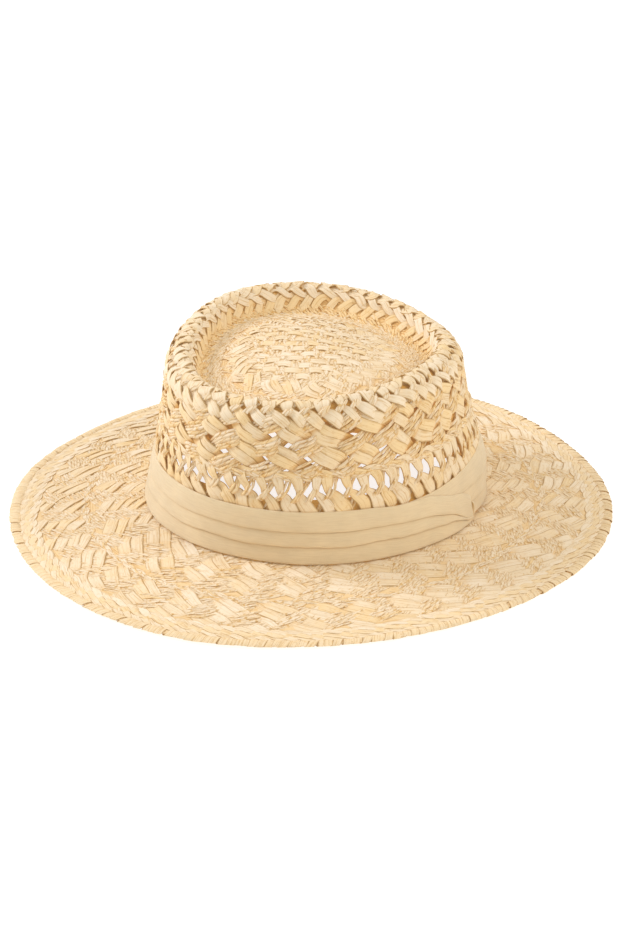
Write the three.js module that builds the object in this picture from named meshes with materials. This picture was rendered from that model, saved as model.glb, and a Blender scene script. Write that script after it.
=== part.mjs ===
// A wide-brimmed straw hat with a telescope crown: a flat-sided crown whose top is
// pressed down inside a raised, plaited rim, with a low dome in the middle.
// Millimetres. +Z is up, -Y is the front of the hat and +X is the wearer's left.
// The hat rests on the flat underside of its brim edge, at Z = 0.

import * as THREE from 'three';

// ---- Driving dimensions ----------------------------------------------------------

const REPEATS = 54;            // repeats of the weave round the crown
const STRAW = 2.2;             // thickness of the woven straw
const RIM_PLAIT = 3.2;         // thickness of the plaited rim round the top
const GAP = 0.3;               // gap kept between neighbouring pieces

const BRIM_HALF_WIDTH = 168.8;
const BRIM_HALF_LENGTH = 186.8;
const BRIM_SQUARENESS = 1.9;   // 2 is a true ellipse, more is squarer
const EDGE_WIDTH = 6;          // plait that binds the edge of the brim
const EDGE_THICKNESS = 3.4;

const FOOT_HALF_WIDTH = 90.5;  // outside of the crown where it stands on the brim
const FOOT_HALF_LENGTH = 100;
const FOOT_HEIGHT = 8.2;
const CROWN_SQUARENESS = 2.13;

const BAND_HEIGHT = 29.4;
const TUCK_WIDTH = 7.2;        // the fold that gathers the band's ends
const CREST_HALF_WIDTH = 67.5;
const CREST_HALF_LENGTH = 85.3;
const CREST_HEIGHT = 99.5;
const SHOULDER_HALF_WIDTH = 79.8;
const SHOULDER_HALF_LENGTH = 94.4;
const SHOULDER_HEIGHT = 81.8;

const TROUGH_HALF_WIDTH = 58.6;
const TROUGH_HALF_LENGTH = 71.2;
const TROUGH_HEIGHT = 87.2;    // bottom of the groove between rim and dome
const DOME_HEIGHT = 98;
const DOME_FULLNESS = 1.2;     // 0.5 is a half ellipsoid, more is more pointed

const HOLE_LOW = 44.5;           // the row of openwork holes in the side wall
const HOLE_HIGH = 55.5;
const HOLE_WIDTH = 4;

// How far the crown's foot and crest are off level, in millimetres of height:
// the side, the back, and two terms that repeat twice round the hat.
const FOOT_LEAN = { side: -2.4, back: -3.2, twice: 0, diagonal: 0 };
const CREST_LEAN = { side: -2.5, back: 0.8, twice: 1.45, diagonal: -2.1 };
const CORNER_DIP = 2.8;         // how far the crest sags at one back corner
const CORNER_AT = 0.3 * Math.PI; // the one at the wearer's left
const CORNER_SPREAD = Math.PI / 6;
// The same side's wall stands out further, most of all at the top of the band.
const SWELL = 4.0;
const SWELL_AT = 0.14 * Math.PI;
const SWELL_SPREAD = 0.22 * Math.PI;
const SWELL_HEIGHT = 36;
const SWELL_REACH = 26;
const FOOT_EGG = 0.06;         // how much wider the oval is at the back
const CREST_EGG = 0.025;

const strawColour = 0xf0d7aa;
const clothColour = 0xe2c896;

// ---- Rings -----------------------------------------------------------------------
// A ring is one level of a shape: an egg-shaped oval at a height.

function leanAt(lean, angle) {
  return lean.side * Math.cos(angle) + lean.back * Math.sin(angle)
    + lean.twice * Math.cos(2 * angle) + lean.diagonal * Math.sin(2 * angle);
}

// A smooth hump of 1 at one angle round the hat.
function humpAt(angle, at, spread) {
  const turns = (angle - at) / (2 * Math.PI);
  const off = 2 * Math.PI * (turns - Math.round(turns));
  return Math.exp(-((off / spread) ** 2));
}

function pointOn(ring, angle) {
  const c = Math.cos(angle);
  const s = Math.sin(angle);
  if (ring.halfWidth < 1e-6) return new THREE.Vector3(0, 0, ring.height);
  const power = ring.squareness;
  const reach = (Math.abs(c / ring.halfWidth) ** power
    + Math.abs(s / ring.halfLength) ** power) ** (-1 / power);
  const y = reach * s;
  const x = reach * c * (1 + ring.egg * y / ring.halfLength);
  const z = ring.height + ring.footLean * leanAt(FOOT_LEAN, angle)
    + ring.crestLean * (leanAt(CREST_LEAN, angle)
      - CORNER_DIP * humpAt(angle, CORNER_AT, CORNER_SPREAD));
  const swell = SWELL * humpAt(angle, SWELL_AT, SWELL_SPREAD)
    * Math.exp(-(((ring.height - SWELL_HEIGHT) / SWELL_REACH) ** 2));
  return new THREE.Vector3(x + swell * c, y + swell * s, z);
}

// rise says where a crown ring belongs: 0 at the foot, 1 at the shoulder and above.
function crownRing([halfWidth, halfLength, height, rise]) {
  return {
    halfWidth, halfLength, height,
    squareness: CROWN_SQUARENESS,
    egg: FOOT_EGG + (CREST_EGG - FOOT_EGG) * rise,
    footLean: 1 - rise,
    crestLean: rise * Math.min(1, halfWidth / CREST_HALF_WIDTH),
  };
}

// reach says where a brim ring belongs: 0 at the crown, 1 at the edge.
function brimRing([halfWidth, halfLength, height, reach]) {
  return {
    halfWidth, halfLength, height,
    squareness: CROWN_SQUARENESS + (BRIM_SQUARENESS - CROWN_SQUARENESS) * reach,
    egg: FOOT_EGG * (1 - reach),
    footLean: (1 - reach) ** 1.5,
    crestLean: 0,
  };
}

// The same rings moved square to the surface, inwards by depth.
function offsetRings(rings, depth) {
  return rings.map((ring, i) => {
    const before = rings[Math.max(i - 1, 0)];
    const after = rings[Math.min(i + 1, rings.length - 1)];
    const run = (after.halfWidth + after.halfLength - before.halfWidth - before.halfLength) / 2;
    const rise = after.height - before.height;
    const length = Math.hypot(run, rise);
    const inward = ring.halfWidth > 0 ? depth * rise / length : 0;
    return {
      ...ring,
      halfWidth: ring.halfWidth - inward,
      halfLength: ring.halfLength - inward,
      height: ring.height + depth * run / length,
    };
  });
}

// A ring between two others.
function between(a, b, share) {
  const mixed = {};
  for (const key of Object.keys(a)) mixed[key] = a[key] + (b[key] - a[key]) * share;
  return mixed;
}

// The stretch of rings that leaves a gap to whatever comes after its last ring.
function stopShort(rings) {
  const last = rings[rings.length - 1];
  const previous = rings[rings.length - 2];
  const step = Math.hypot(last.halfWidth - previous.halfWidth, last.height - previous.height);
  return [...rings.slice(0, -1), between(last, previous, GAP / step)];
}

// ---- Facets ----------------------------------------------------------------------

class Facets {
  constructor() {
    this.corners = [];
  }

  triangle(a, b, c) {
    for (const p of [a, b, c]) this.corners.push(p.x, p.y, p.z);
  }

  quad(a, b, c, d) {
    this.triangle(a, b, c);
    this.triangle(a, c, d);
  }

  // A strip between two closed loops of points, facing right of low to high.
  strip(low, high) {
    if (low.length === 1 && high.length === 1) return;
    const count = Math.max(low.length, high.length);
    for (let k = 0; k < count; k += 1) {
      const next = (k + 1) % count;
      if (high.length === 1) this.triangle(low[k], low[next], high[0]);
      else if (low.length === 1) this.triangle(low[0], high[next], high[k]);
      else this.quad(low[k], low[next], high[next], high[k]);
    }
  }

  geometry() {
    const made = new THREE.BufferGeometry();
    made.setAttribute('position', new THREE.Float32BufferAttribute(this.corners, 3));
    made.computeVertexNormals();
    return made;
  }
}

function loopOf(ring, count) {
  if (ring.halfWidth < 1e-6) return [pointOn(ring, 0)];
  return Array.from({ length: count }, (_, k) => pointOn(ring, 2 * Math.PI * k / count));
}

// A ring-shaped piece: its rings follow its section all the way round and close.
function closedSection(rings, count) {
  const facets = new Facets();
  const loops = rings.map((ring) => loopOf(ring, count));
  loops.forEach((loop, i) => facets.strip(loop, loops[(i + 1) % loops.length]));
  return facets.geometry();
}

// A wall between an outer and an inner set of rings, closed at both ends.
function wall(outer, inner, count) {
  return closedSection([...outer, ...[...inner].reverse()], count);
}

// A shell that closes over the middle: both sets of rings end in a single point.
function shell(outer, inner, count) {
  const facets = new Facets();
  const loops = [...[...inner].reverse(), ...outer].map((ring) => loopOf(ring, count));
  const open = loops.findIndex((loop) => loop.length > 1);
  for (let i = open - 1; i < loops.length - 1; i += 1) facets.strip(loops[i], loops[i + 1]);
  return facets.geometry();
}

function piece(name, geometry, colour, roughness) {
  const material = new THREE.MeshStandardMaterial({ color: colour, roughness, metalness: 0 });
  const mesh = new THREE.Mesh(geometry, material);
  mesh.name = name;
  return mesh;
}

// ---- The crown's outline, from the foot over the crest to the middle of the dome --

const bandTop = FOOT_HEIGHT + BAND_HEIGHT;
const holeMiddle = (HOLE_LOW + HOLE_HIGH) / 2;

const SIDE = [
  // half width      half length       height           rise
  [FOOT_HALF_WIDTH, FOOT_HALF_LENGTH, FOOT_HEIGHT + 2 * GAP, 0],
  [84.2, 98.8, bandTop, 0],
  [83.7, 98.3, HOLE_LOW, 0.15],
  [83.3, 97.9, holeMiddle, 0.28],
  [82.7, 97.4, HOLE_HIGH, 0.42],
  [81.3, 96.0, 69, 0.75],
].map(crownRing);

// The crown's shoulder rounds over to the crest in a quarter of an ellipse.
function shoulderRing(degrees) {
  const turn = THREE.MathUtils.degToRad(degrees);
  return crownRing([
    CREST_HALF_WIDTH + (SHOULDER_HALF_WIDTH - CREST_HALF_WIDTH) * Math.cos(turn),
    CREST_HALF_LENGTH + (SHOULDER_HALF_LENGTH - CREST_HALF_LENGTH) * Math.cos(turn),
    SHOULDER_HEIGHT + (CREST_HEIGHT - SHOULDER_HEIGHT) * Math.sin(turn),
    1,
  ]);
}

const GROOVE = [
  // half width, half length, height, rise
  [64.8, 82.5, 98.0, 1],
  [62.6, 79.3, 94.0, 1],
  [60.7, 75.6, 89.8, 1],
  [TROUGH_HALF_WIDTH, TROUGH_HALF_LENGTH, TROUGH_HEIGHT, 1],
].map(crownRing);

// The dome rises from the trough; share is its distance out from the middle.
function domeRing(share) {
  const fullness = (1 - share * share) ** DOME_FULLNESS;
  return crownRing([
    TROUGH_HALF_WIDTH * share, TROUGH_HALF_LENGTH * share,
    TROUGH_HEIGHT + (DOME_HEIGHT - TROUGH_HEIGHT) * fullness, 1,
  ]);
}

const OUTLINE = [
  ...SIDE,
  ...[0, 22, 45, 67, 90].map(shoulderRing),
  ...GROOVE,
  ...[0.95, 0.87, 0.74, 0.56, 0.3, 0].map(domeRing),
];
const RIM_STARTS = SIDE.length + 1;
const WELL_STARTS = SIDE.length + 6;
const DOME_STARTS = SIDE.length + 8;

// One stretch of the outline as a wall's two faces, short of the next stretch by a gap.
function stretch(from, to, thickness) {
  const faces = [OUTLINE, offsetRings(OUTLINE, thickness)].map((rings) => rings.slice(from, to + 1));
  return to < OUTLINE.length - 1 ? faces.map(stopShort) : faces;
}

// ---- Pieces ----------------------------------------------------------------------

// The openwork side wall: a plain wall above and below one row of diamond holes.
function crownSide() {
  const [outer, inner] = stretch(0, RIM_STARTS, STRAW);
  const middle = SIDE.findIndex((ring) => ring.height === holeMiddle);
  const halfTurn = HOLE_WIDTH / 2 / FOOT_HALF_WIDTH;
  const facets = new Facets();
  const holes = Array.from({ length: REPEATS }, (_, k) => 2 * Math.PI * k / REPEATS);

  // Each hole's four corners on one face of the wall, going round from the lowest.
  const cornersOn = (rings) => holes.map((angle) => [
    pointOn(rings[middle - 1], angle),
    pointOn(rings[middle], angle + halfTurn),
    pointOn(rings[middle + 1], angle),
    pointOn(rings[middle], angle - halfTurn),
  ]);
  const outside = cornersOn(outer);
  const inside = cornersOn(inner);

  // The strut between one hole and the next, as a lower and an upper facet.
  const strut = ([low, right, high], [nextLow, , nextHigh, nextLeft], turned) => {
    const lower = [low, nextLow, nextLeft, right];
    const upper = [right, nextLeft, nextHigh, high];
    for (const facet of [lower, upper]) facets.quad(...(turned ? facet.reverse() : facet));
  };

  for (const [rings, turned] of [[outer, false], [inner, true]]) {
    const loops = rings.map((ring) => loopOf(ring, REPEATS));
    for (let i = 0; i < loops.length - 1; i += 1) {
      if (i === middle - 1 || i === middle) continue;
      if (turned) facets.strip(loops[i + 1], loops[i]);
      else facets.strip(loops[i], loops[i + 1]);
    }
    const corners = turned ? inside : outside;
    corners.forEach((hole, k) => strut(hole, corners[(k + 1) % REPEATS], turned));
  }
  outside.forEach((hole, k) => {
    for (let i = 0; i < 4; i += 1) {
      const next = (i + 1) % 4;
      facets.quad(hole[i], hole[next], inside[k][next], inside[k][i]);
    }
  });
  const ends = [outer, inner].map((rings) => [rings[0], rings[rings.length - 1]]
    .map((ring) => loopOf(ring, REPEATS)));
  facets.strip(ends[1][0], ends[0][0]);
  facets.strip(ends[0][1], ends[1][1]);
  return facets.geometry();
}

// The plaited rim: it wraps over the crest and down the first of the groove.
function crownRim() {
  return wall(...stretch(RIM_STARTS, WELL_STARTS, RIM_PLAIT), REPEATS);
}

// The wall of the groove, from the plaited rim down to the trough.
function crownWell() {
  return wall(...stretch(WELL_STARTS, DOME_STARTS, STRAW), REPEATS);
}

// The tip: a low dome that rises from the trough.
function crownTip() {
  return shell(...stretch(DOME_STARTS, OUTLINE.length - 1, STRAW), REPEATS);
}

function brim() {
  const top = [
    // half width, half length, height, reach
    [FOOT_HALF_WIDTH - STRAW, FOOT_HALF_LENGTH - STRAW, FOOT_HEIGHT, 0],
    [112, 124, 6.4, 0.35],
    [138, 153, 4.4, 0.7],
    [BRIM_HALF_WIDTH - EDGE_WIDTH - GAP, BRIM_HALF_LENGTH - EDGE_WIDTH - GAP, 2.8, 1],
  ].map(brimRing);
  const underside = top.map((ring) => ({ ...ring, height: ring.height - STRAW }));
  return closedSection([...underside, ...[...top].reverse()], 2 * REPEATS);
}

// The plait that binds the brim's edge, flat underneath where the hat rests.
function brimEdge() {
  const section = [
    // in from the outermost edge, share of the thickness
    [EDGE_WIDTH - 0.8, 0],
    [1.4, 0],
    [0, 0.38],
    [0.3, 0.72],
    [1.6, 1],
    [EDGE_WIDTH - 1, 1],
    [EDGE_WIDTH, 0.75],
    [EDGE_WIDTH, 0.25],
  ];
  return closedSection(section.map(([inset, share]) => brimRing([
    BRIM_HALF_WIDTH - inset, BRIM_HALF_LENGTH - inset, share * EDGE_THICKNESS, 1,
  ])), 2 * REPEATS);
}

// The cloth band: three soft pleats, each fullest at its middle.
const PLEATS = [
  // share of the band's height, fold thickness
  [0.01, 1.6], [0.17, 2.3], [0.33, 1.4],
  [0.5, 2.2], [0.65, 1.3],
  [0.83, 2.0], [0.99, 1.1],
];

function bandRing(share, outward) {
  const ring = between(SIDE[0], SIDE[1], share);
  return { ...ring, halfWidth: ring.halfWidth + outward, halfLength: ring.halfLength + outward };
}

const BAND_CLEARANCE = 2 * GAP;   // flat facets come nearer to each other than their corners

function hatBand() {
  const outer = PLEATS.map(([share, fold]) => bandRing(share, BAND_CLEARANCE + fold));
  const inner = [PLEATS[0], PLEATS[PLEATS.length - 1]]
    .map(([share]) => bandRing(share, BAND_CLEARANCE));
  return wall(outer, inner, REPEATS);
}

// The tuck that gathers the band's ends, on the wearer's left.
function bandTuck() {
  const halfTurn = TUCK_WIDTH / 2 / FOOT_HALF_WIDTH;
  const fullest = Math.max(...PLEATS.map(([, fold]) => fold));
  const seat = BAND_CLEARANCE + fullest + GAP;
  const section = [
    // share of the band's height, outward
    [0.03, seat], [0.03, seat + 1.4], [0.2, seat + 2.4], [0.5, seat + 2.4],
    [0.68, seat + 1.2], [0.68, seat],
  ];
  const turns = [-1, -0.4, 0.4, 1];
  const sectionAt = (turn) => section.map(([share, outward]) => pointOn(
    bandRing(share, seat + (outward - seat) * (1 - 0.45 * turn * turn)),
    turn * halfTurn,
  ));
  const middleOf = (loop) => loop
    .reduce((sum, p) => sum.add(p), new THREE.Vector3()).divideScalar(loop.length);
  const loops = turns.map(sectionAt);
  const closed = [[middleOf(loops[0])], ...loops, [middleOf(loops[loops.length - 1])]];
  const facets = new Facets();
  for (let i = 0; i < closed.length - 1; i += 1) facets.strip(closed[i + 1], closed[i]);
  return facets.geometry();
}

const hat = new THREE.Group();
hat.add(
  piece('crown_tip', crownTip(), strawColour, 0.85),
  piece('crown_well', crownWell(), strawColour, 0.85),
  piece('crown_rim', crownRim(), strawColour, 0.85),
  piece('crown_side', crownSide(), strawColour, 0.85),
  piece('brim', brim(), strawColour, 0.85),
  piece('brim_edge', brimEdge(), strawColour, 0.85),
  piece('hat_band', hatBand(), clothColour, 0.95),
  piece('band_tuck', bandTuck(), clothColour, 0.95),
);

export default hat;
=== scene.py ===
"""A woven straw hat with a telescope crown and a pleated cloth band.

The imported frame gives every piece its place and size. Lengths below are in
millimetres and are turned into metres where a mesh is made. +Z is up, -Y is the
front of the hat and +X is the wearer's left.
"""

import math
from collections import namedtuple

import bpy
import numpy as np
from bpy.props import FloatProperty, FloatVectorProperty, IntProperty, PointerProperty
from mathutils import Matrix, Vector


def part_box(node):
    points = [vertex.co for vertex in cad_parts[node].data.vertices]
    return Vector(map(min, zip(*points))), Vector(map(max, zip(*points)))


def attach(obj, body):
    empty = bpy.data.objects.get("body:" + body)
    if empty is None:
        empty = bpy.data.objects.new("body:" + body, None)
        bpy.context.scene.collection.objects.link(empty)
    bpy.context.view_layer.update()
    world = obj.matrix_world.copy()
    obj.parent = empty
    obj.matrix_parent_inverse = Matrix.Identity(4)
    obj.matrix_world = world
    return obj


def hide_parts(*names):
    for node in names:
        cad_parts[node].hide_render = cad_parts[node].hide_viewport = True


bl_info = {
    "name": "Straw hat",
    "version": (1, 0, 0),
    "blender": (4, 5, 0),
    "location": "View3D > Sidebar > Straw hat",
    "description": "Weaves a straw hat with a telescope crown and a pleated cloth band",
    "category": "Object",
}

MM = 0.001
TAU = 2 * math.pi
BODY = "root"

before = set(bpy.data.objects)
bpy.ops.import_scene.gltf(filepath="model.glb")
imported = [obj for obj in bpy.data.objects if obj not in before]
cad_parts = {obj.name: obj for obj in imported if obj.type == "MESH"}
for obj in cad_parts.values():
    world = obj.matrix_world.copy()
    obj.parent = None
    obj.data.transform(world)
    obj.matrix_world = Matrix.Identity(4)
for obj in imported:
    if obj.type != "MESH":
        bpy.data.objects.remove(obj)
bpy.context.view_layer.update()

EDGE_CORNER = np.array(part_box("brim_edge")[1]) / MM    # as far out as the brim's edge goes

# ---- The hat's outline, as the frame's own rings ------------------------------------

WALL = 2.2                     # thickness of the frame's straw walls
FOOT_HEIGHT = 8.2              # where the crown stands on the brim
BAND_HEIGHT = 29.4
FOOT_SIZE = (90.5, 100.0)      # half width and half length of the crown's foot
BAND_TOP_SIZE = (84.2, 98.8)
SHOULDER_SIZE = (79.8, 94.4)
SHOULDER_HEIGHT = 81.8
CREST_SIZE = (67.5, 85.3)
CREST_HEIGHT = 99.5
TROUGH_SIZE = (58.6, 71.2)
TROUGH_HEIGHT = 87.2
DOME_HEIGHT = 98.0
DOME_FULLNESS = 1.2
DOME_RINGS, DOME_RIM = 30, 0.97    # rings in the dome, and the share of it that they span
POLE_SIZE = 0.02               # half size of the ring that closes the dome's middle
SHOULDER_ANGLES = range(90, -1, -6)    # of the rings round the crest, in degrees
# Rings of the groove's wall, going up, of the crown's side, going down, and of the brim,
# going out: half width, half length, height, and rise or reach.
WELL_RINGS = ((60.7, 75.6, 89.8, 1), (62.6, 79.3, 94.0, 1), (64.8, 82.5, 98.0, 1))
SIDE_RINGS = ((81.3, 96.0, 69.0, 0.75), (82.7, 97.4, 55.5, 0.42), (83.7, 98.3, 44.5, 0.15))
BRIM_RINGS = ((112, 124, 6.4, 0.35), (138, 153, 4.4, 0.7))
EDGE_HEIGHT = 2.1              # of the middle of the brim's edge
CROWN_SQUARENESS = 2.13
BRIM_SQUARENESS = 1.9
FOOT_EGG = 0.06                # how much wider the oval is at the back
CREST_EGG = 0.025
# Height off level: at the side, at the back, and two terms that come twice a turn.
FOOT_LEAN = (-2.4, -3.2, 0.0, 0.0)
CREST_LEAN = (-2.5, 0.8, 1.45, -2.1)
CORNER_DIP = 3.8               # how far the crest sags at one back corner
CORNER_AT = math.radians(54)
CORNER_SPREAD = math.radians(30)
SWELL = 4.0                    # how far the wall stands out at that side
SWELL_AT = 0.14 * math.pi
SWELL_SPREAD = 0.22 * math.pi
SWELL_HEIGHT, SWELL_REACH = 36.0, 26.0
# Degrees where the hand-woven edges are drawn in, how far, and how many degrees wide.
BRIM_TRIMS = ((50, 2.2, 20), (165, 2.8, 22))
CREST_TRIMS = ((205, 1.4, 34),)
# Half widths of the brim from which its trims are felt, and over which they grow.
BRIM_TRIM_FROM, BRIM_TRIM_OVER = 100, 60


def crown_ring(width, length, height, rise):
    """One ring: sizes, height, squareness, egg, and its share of either lean.

    rise is 0 where the ring is formed like the foot and 1 where it is like the crest.
    """
    egg = FOOT_EGG + (CREST_EGG - FOOT_EGG) * rise
    settled = rise * min(1.0, width / CREST_SIZE[0])
    return (width, length, height, CROWN_SQUARENESS, egg, 1 - rise, settled)


def brim_ring(width, length, height, reach):
    """The same for the brim. reach is 0 at the crown's foot and 1 at the edge."""
    squareness = CROWN_SQUARENESS + (BRIM_SQUARENESS - CROWN_SQUARENESS) * reach
    return (width, length, height, squareness, FOOT_EGG * (1 - reach), (1 - reach) ** 1.5, 0.0)


def eased(rows, steps):
    """A smooth line through rows of numbers, with steps more rows between each two."""
    rows = np.array(rows, float)
    ends = np.vstack([2 * rows[0] - rows[1], rows, 2 * rows[-1] - rows[-2]])
    share = np.arange(steps)[:, None] / steps
    made = []
    for before, a, b, after in zip(ends, ends[1:], ends[2:], ends[3:]):
        leave, arrive = (b - before) / 2, (after - a) / 2
        made.append(
            a + leave * share
            + (3 * (b - a) - 2 * leave - arrive) * share**2
            + (2 * (a - b) + leave + arrive) * share**3
        )
    return np.vstack([*made, rows[-1:]])


def crown_rings():
    """Rings from the middle of the dome, over the crest, down to the crown's foot."""
    dome = []
    for share in np.linspace(0.0, DOME_RIM, DOME_RINGS):
        rise = (1 - share**2) ** DOME_FULLNESS
        height = TROUGH_HEIGHT + (DOME_HEIGHT - TROUGH_HEIGHT) * rise
        dome.append(crown_ring(TROUGH_SIZE[0] * share, TROUGH_SIZE[1] * share, height, 1))
    dome[0] = crown_ring(POLE_SIZE, POLE_SIZE, DOME_HEIGHT, 1)
    well = [(*TROUGH_SIZE, TROUGH_HEIGHT + 0.1, 1), *WELL_RINGS]
    well = eased([crown_ring(*ring) for ring in well], 4)
    shoulder = []
    for degrees in SHOULDER_ANGLES:
        out, up = math.cos(math.radians(degrees)), math.sin(math.radians(degrees))
        size = [c + (s - c) * out for c, s in zip(CREST_SIZE, SHOULDER_SIZE)]
        height = SHOULDER_HEIGHT + (CREST_HEIGHT - SHOULDER_HEIGHT) * up
        shoulder.append(crown_ring(*size, height, 1))
    side = [*SIDE_RINGS, (*BAND_TOP_SIZE, FOOT_HEIGHT + BAND_HEIGHT, 0),
            (*FOOT_SIZE, FOOT_HEIGHT, 0)]
    side = eased([crown_ring(*ring) for ring in side], 5)
    return np.vstack([dome, well, shoulder, side]), len(dome) + len(well)


def brim_rings():
    """Rings from the crown's foot out to the middle of the brim's edge."""
    rings = [(FOOT_SIZE[0] - WALL, FOOT_SIZE[1] - WALL, FOOT_HEIGHT, 0), *BRIM_RINGS,
             (EDGE_CORNER[0] - 0.5, EDGE_CORNER[1] - 0.5, EDGE_HEIGHT, 1)]
    return eased([brim_ring(*ring) for ring in rings], 6)


def unit(vectors):
    """The same directions, with a length of 1."""
    return vectors / np.maximum(np.linalg.norm(vectors, axis=-1, keepdims=True), 1e-9)


def grown(value, start, length):
    """0 before start, growing evenly to 1 over the next length."""
    return np.clip((value - start) / length, 0, 1)


def hump(angle, at, spread):
    """A smooth hump of 1 at one angle round the hat."""
    off = (angle - at + math.pi) % TAU - math.pi
    return np.exp(-((off / spread) ** 2))


def drawn_in(angle, trims):
    """Millimetres that an edge is drawn in by at an angle."""
    return sum(size * hump(angle, math.radians(at), math.radians(spread))
               for at, size, spread in trims)


# Waves in which the weave strays: times a turn, length down, size, phase.
STRAY_WAVES = (
    (5, 47.0, 0.8, 0.4),
    (9, 31.0, 0.6, 2.1),
    (14, 61.0, 0.5, 3.9),
    (23, 23.0, 0.35, 5.2),
)
STRAY_DOWN = 0.6               # how much of a wave's size it strays down the surface
STRAY_EDGE = 12.0              # from a border, the distance in which straying sets in
STRAY_GIRTH = (150.0, 250.0)   # girth where it sets in, and over which it grows
NUDGE_TURN, NUDGE_DOWN = 0.004, 0.25   # steps, in radians and millimetres, to find a slope
RING_SAMPLES, GIRTH_SAMPLES = 721, 181     # places on a ring where it is measured
POLE_MARGIN = 0.3              # how near the middle of the hat a strand may come


class Skin:
    """A surface of rings. Places on it are a turn round the hat and a distance down it.

    turn is 0 at the front and 1 after once round, counter-clockwise from above, and
    goes round evenly by length. down is in millimetres along the surface, and grows
    from the middle of the hat outwards.
    """

    def __init__(self, rings, zero, even_ring):
        self.rings = rings
        sizes = rings[:, :2].mean(1)
        steps = np.hypot(np.diff(sizes), np.diff(rings[:, 2]))
        self.down = np.concatenate([[0], np.cumsum(steps)])
        self.down -= self.down[zero]
        angles = np.linspace(-TAU / 4, TAU * 3 / 4, RING_SAMPLES)
        edge = self.on(angles, np.full_like(angles, self.down[even_ring]))
        lengths = np.linalg.norm(np.diff(edge, axis=0), axis=1)
        self.turns = np.concatenate([[0], np.cumsum(lengths)]) / lengths.sum()
        self.angles = angles
        self.girths = np.array([self._girth(down) for down in self.down])

    def _girth(self, down):
        angles = np.linspace(0, TAU, GIRTH_SAMPLES)
        ring = self.on(angles, np.full_like(angles, down))
        return np.linalg.norm(np.diff(ring, axis=0), axis=1).sum()

    def girth(self, down):
        return np.interp(down, self.down, self.girths)

    def angle(self, turn):
        whole = np.floor(turn)
        return TAU * whole + np.interp(turn - whole, self.turns, self.angles)

    def turn(self, angle):
        return np.interp((angle + TAU / 4) % TAU - TAU / 4, self.angles, self.turns)

    def on(self, angle, down):
        width, length, height, power, egg, foot, crest = (
            np.interp(down, self.down, column) for column in self.rings.T
        )
        c, s = np.cos(angle), np.sin(angle)
        reach = (np.abs(c / width) ** power + np.abs(s / length) ** power) ** (-1 / power)
        y = reach * s
        x = reach * c * (1 + egg * y / length)
        waves = (c, s, np.cos(2 * angle), np.sin(2 * angle))
        z = height + sum(
            (foot * low + crest * high) * wave
            for low, high, wave in zip(FOOT_LEAN, CREST_LEAN, waves)
        )
        z = z - crest * CORNER_DIP * hump(angle, CORNER_AT, CORNER_SPREAD)
        swell = SWELL * hump(angle, SWELL_AT, SWELL_SPREAD)
        swell = swell * np.exp(-(((height - SWELL_HEIGHT) / SWELL_REACH) ** 2))
        swell = swell - grown(width, BRIM_TRIM_FROM, BRIM_TRIM_OVER) * drawn_in(angle, BRIM_TRIMS)
        swell = swell - crest * drawn_in(angle, CREST_TRIMS)
        x, y = x + swell * c, y + swell * s
        return np.stack([x, y, z], -1)

    def stray(self, turn, down):
        """The same place after the uneven pull of work done by hand."""
        along, across = 0.0, 0.0
        for count, length, size, phase in STRAY_WAVES:
            along = along + size * np.sin(TAU * (count * turn + down / length) + phase)
            across = across + size * np.cos(TAU * (count * turn - down / length) + 2 * phase)
        girth = self.girth(down)
        fade = grown(girth, *STRAY_GIRTH)
        edges = grown(np.minimum(down - self.down[0], self.down[-1] - down), 0, STRAY_EDGE)
        return turn + along * fade / girth, down + STRAY_DOWN * across * fade * edges

    def place(self, turn, down, lift):
        """Points lift above the surface, and the surface's outward direction there."""
        angle = self.angle(turn)
        down = np.clip(down, self.down[0] + POLE_MARGIN, self.down[-1])
        over = self.on(angle + NUDGE_TURN, down) - self.on(angle - NUDGE_TURN, down)
        along = self.on(angle, down + NUDGE_DOWN) - self.on(angle, down - NUDGE_DOWN)
        normal = unit(np.cross(along, over))
        return self.on(angle, down) + normal * np.asarray(lift)[..., None], normal


rings, crest_ring = crown_rings()
CROWN = Skin(rings, zero=crest_ring, even_ring=crest_ring + 20)
BRIM = Skin(brim_rings(), zero=0, even_ring=10)
CROWN_FOOT = CROWN.down[-1]
BRIM_WIDTH = BRIM.down[-1]
DOME_MIDDLE = CROWN.down[0]

# ---- Strands ------------------------------------------------------------------------

# A strand's section: across and up, in shares of its width and of its thickness.
RIBBON = np.array([(-0.5, 0.2), (-0.47, 0.86), (-0.39, 0.97), (0.39, 0.97), (0.47, 0.86),
                   (0.5, 0.2), (0.0, -0.4)])
CORD_ANGLES = np.arange(5) * TAU / 5 + TAU / 20
CORD = np.array([(0.5 * math.cos(a), 0.5 * math.sin(a)) for a in CORD_ANGLES])
FLAT, ROUND = 0, 1             # kinds of strand, and the places of their materials
# How much painted shade each corner of a section gets: a ribbon's rims and underside,
# and a cord's lower flanks, where shade falls between strands.
RIBBON_RIM_SHADE = np.array([1.0, 0.9, 0.0, 0.0, 0.9, 1.0, 1.0])
CORD_FLANK_SHADE = np.clip(0.8 - 2.0 * CORD[:, 1], 0, 1)
NUDGE_OUT = 0.3                # step in millimetres to find which way an edge faces
WOUND_RIM_SHADE = 0.6                # a wound strand's rims get less painted shade
TINT_MIDDLE, TINT_SPREAD = 0.5, 0.17
TINT_STREAK, STREAK_LENGTH = 0.35, 11.0    # how tints drift along a strand
WAVE_PITCHES = (0.7, 1.4)      # how many times as close as asked for noise's waves are
PATTERN_LENGTH = 900           # each strand starts anywhere in so much of its pattern
SHELL_TINT = 0.2
SHELL_COLUMNS = 216
SMOOTH_ANGLE = math.radians(55)


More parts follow.
